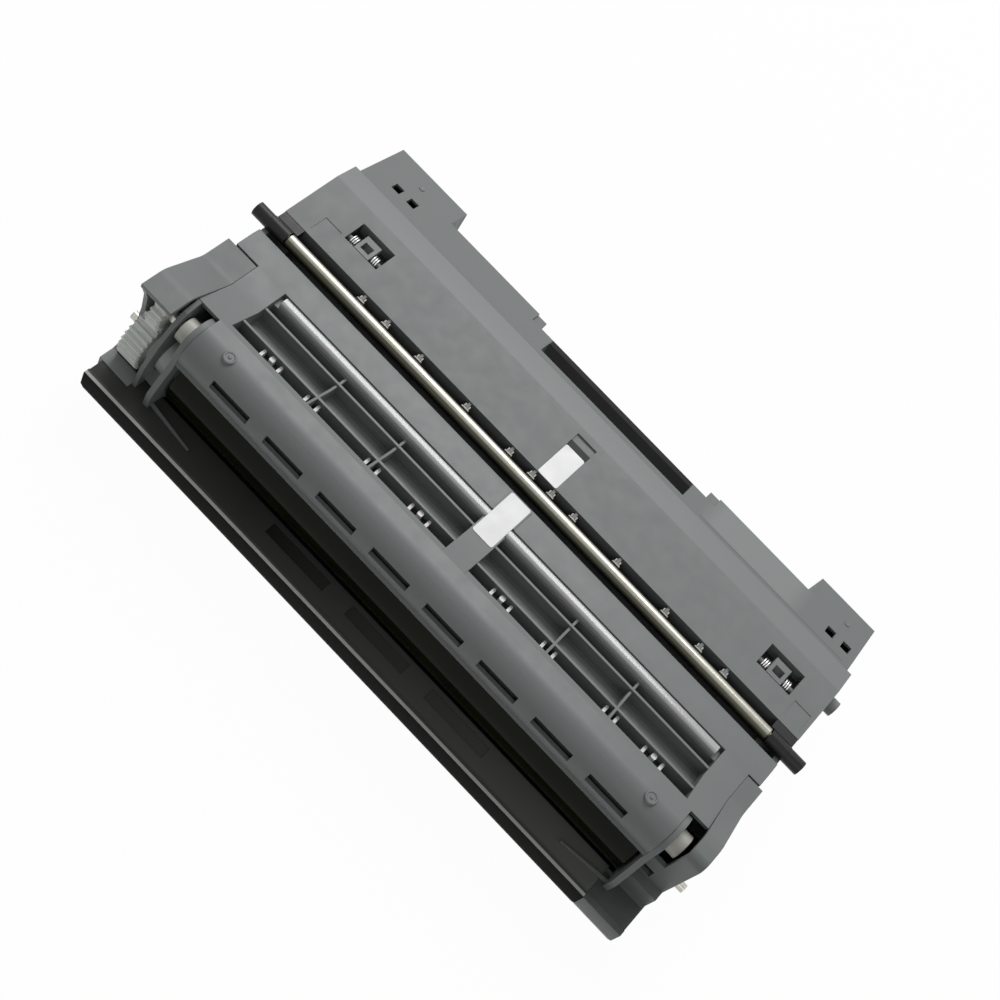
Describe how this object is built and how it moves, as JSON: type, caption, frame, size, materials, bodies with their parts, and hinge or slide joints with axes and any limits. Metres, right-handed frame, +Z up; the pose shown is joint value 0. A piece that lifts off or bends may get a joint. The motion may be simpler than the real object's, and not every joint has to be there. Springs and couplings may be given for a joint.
{
  "type": "printer drum unit",
  "caption": "Laser printer drum unit, paper side up: grey frame, metal pinch roller, ribbed paper chute, covered transfer roller, drum below it and a dark charger cover.",
  "frame": {"origin": "middle of the bounding box in X and Y, on the surface that the unit lies on", "axes": "+X along the rollers, -Y towards the side where paper leaves, +Z up, with the paper side up"},
  "size_m": [0.2816, 0.1604, 0.062],
  "materials": {
    "frame_plastic": "fine-textured grey moulding",
    "cover_plastic": "fine-textured grey moulding",
    "dark_plastic": "dark grey moulding",
    "black_plastic": "black bearing plastic",
    "white_plastic": "white moulding",
    "gear_plastic": "white gear plastic",
    "green_plastic": "green moulding for parts that the user moves",
    "label": "blank white film",
    "polished_strip": "polished strip",
    "roller_steel": "ground roller steel, slightly warm",
    "shaft_steel": "ground shaft",
    "stainless_steel": "thin stainless sheet and wire",
    "spring_steel": "bright spring wire",
    "screw_steel": "plated screw steel",
    "drum_coating": "smooth olive photoconductor coating",
    "foam": "closed-cell black foam"
  },
  "bodies": {
    "frame": {"main_frame": "frame_plastic", "paper_chute": "frame_plastic", "guide_strip": "polished_strip", "paper_runners": "white_plastic", "bridge_label": "label", "plate_label": "label", "transfer_cover": "cover_plastic", "left_end_cover": "cover_plastic", "right_end_cover": "cover_plastic", "charger_cover": "dark_plastic", "charger_shield": "stainless_steel", "charger_grid": "stainless_steel", "charger_holder_left": "white_plastic", "charger_holder_right": "white_plastic", "charger_wire": "stainless_steel", "drum_shaft": "shaft_steel", "transfer_bush_left": "gear_plastic", "transfer_bush_right": "gear_plastic", "pinch_sleeve_left": "black_plastic", "pinch_sleeve_right": "black_plastic", "bearing_block_left": "black_plastic", "bearing_block_right": "black_plastic", "pad_springs_left": "spring_steel", "pad_springs_right": "spring_steel", "cover_screws": "screw_steel", "earth_plate": "stainless_steel"},
    "drum": {"drum_tube": "drum_coating", "drum_gear": "gear_plastic", "drum_flange": "gear_plastic"},
    "transfer_roller": {"transfer_foam": "foam", "transfer_shaft": "shaft_steel", "transfer_gear": "gear_plastic"},
    "pinch": {"pinch_roller": "roller_steel"},
    "pad_left": {"press_pad_left": "frame_plastic"},
    "pad_right": {"press_pad_right": "frame_plastic"},
    "cleaner": {"wire_cleaner": "green_plastic"},
    "lever": {"release_lever": "green_plastic"}
  },
  "joints": [
    {"name": "drum_spin", "type": "hinge", "parent": "frame", "child": "drum", "pos_m": [0, -0.05355, 0.0295], "axis": [1, 0, 0], "continuous": true},
    {"name": "transfer_spin", "type": "hinge", "parent": "frame", "child": "transfer_roller", "pos_m": [0, -0.05355, 0.0495], "axis": [1, 0, 0], "continuous": true},
    {"name": "pinch_spin", "type": "hinge", "parent": "frame", "child": "pinch", "pos_m": [0, 0.00265, 0.05], "axis": [1, 0, 0], "continuous": true},
    {"name": "pad_left_rock", "type": "hinge", "parent": "frame", "child": "pad_left", "pos_m": [-0.1043, 0.02425, 0.0484], "axis": [1, 0, 0], "range_deg": [0, 10], "stiffness_Nm_per_rad": 0.05, "springref_deg": -11.46},
    {"name": "pad_right_rock", "type": "hinge", "parent": "frame", "child": "pad_right", "pos_m": [0.1123, 0.02425, 0.0484], "axis": [1, 0, 0], "range_deg": [0, 10], "stiffness_Nm_per_rad": 0.05, "springref_deg": -11.46},
    {"name": "cleaner_slide", "type": "slide", "parent": "frame", "child": "cleaner", "axis": [1, 0, 0], "range_m": [0, 0.196]},
    {"name": "lever_swing", "type": "hinge", "parent": "frame", "child": "lever", "pos_m": [-0.1264, 0.06465, 0.023], "axis": [1, 0, 0], "range_deg": [0, 20], "stiffness_Nm_per_rad": 0.02, "springref_deg": -11.46}
  ],
  "couplings": [
    {"joint": "transfer_spin", "follows": "drum_spin", "ratio": -1.6316}
  ]
}
